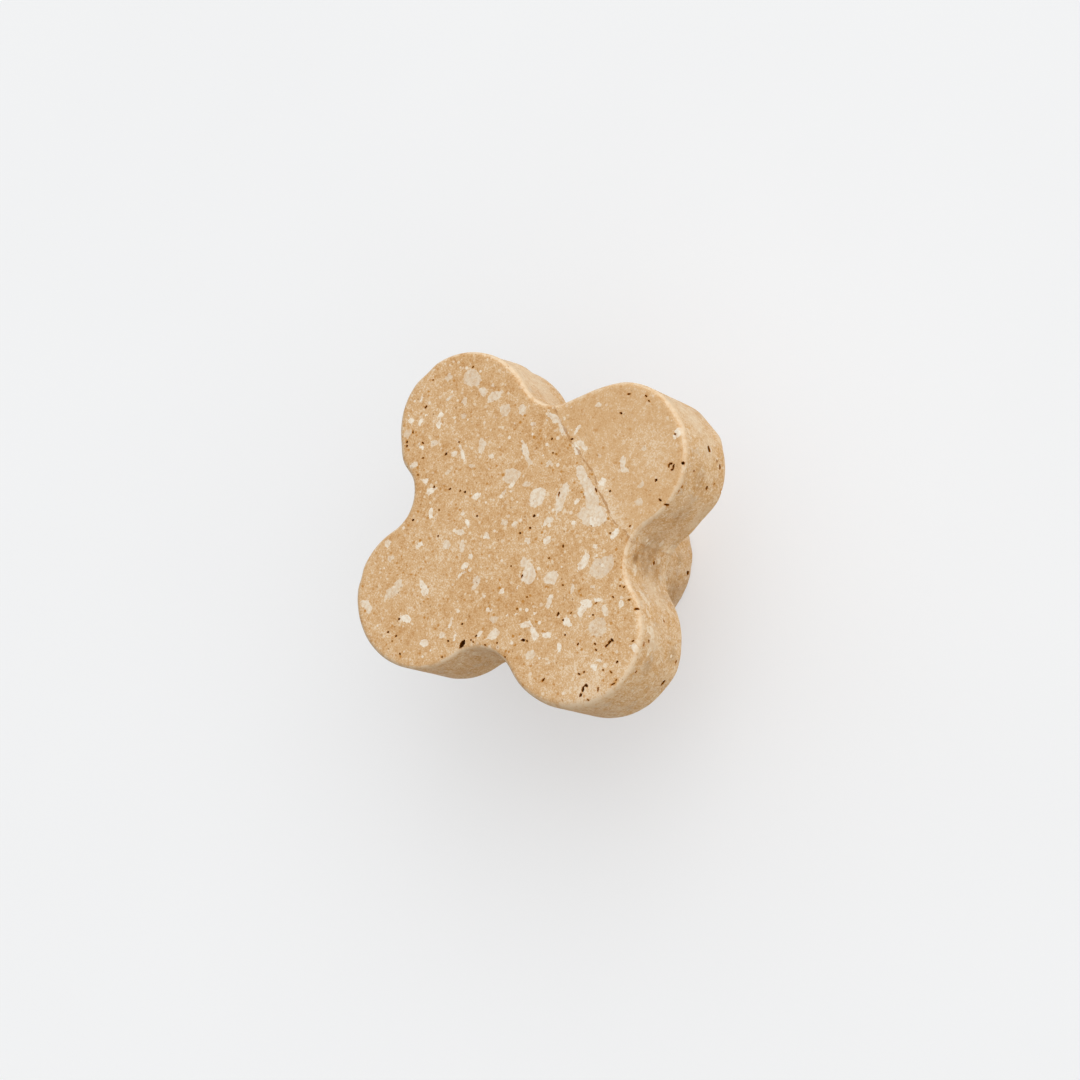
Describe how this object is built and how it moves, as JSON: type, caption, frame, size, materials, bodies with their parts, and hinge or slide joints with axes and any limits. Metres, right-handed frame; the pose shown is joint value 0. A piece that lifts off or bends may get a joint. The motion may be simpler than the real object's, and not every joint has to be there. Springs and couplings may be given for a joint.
{
  "type": "clover cabinet knob",
  "caption": "Travertine cabinet knob with a flat four-petal clover head, a round stem and a brass threaded insert for the mounting screw.",
  "frame": {"origin": "centre of the mounting face at the end of the stem, which lies against the door or drawer front", "axes": "+Z along the knob's axis, out of the cabinet, towards the flat front face; the petals lie on the diagonals of X and Y"},
  "size_m": [0.04, 0.04, 0.03],
  "materials": {
    "stone": "honed",
    "brass": "satin"
  },
  "bodies": {
    "root": {"stone_body": "stone", "threaded_insert": "brass"}
  },
  "joints": []
}
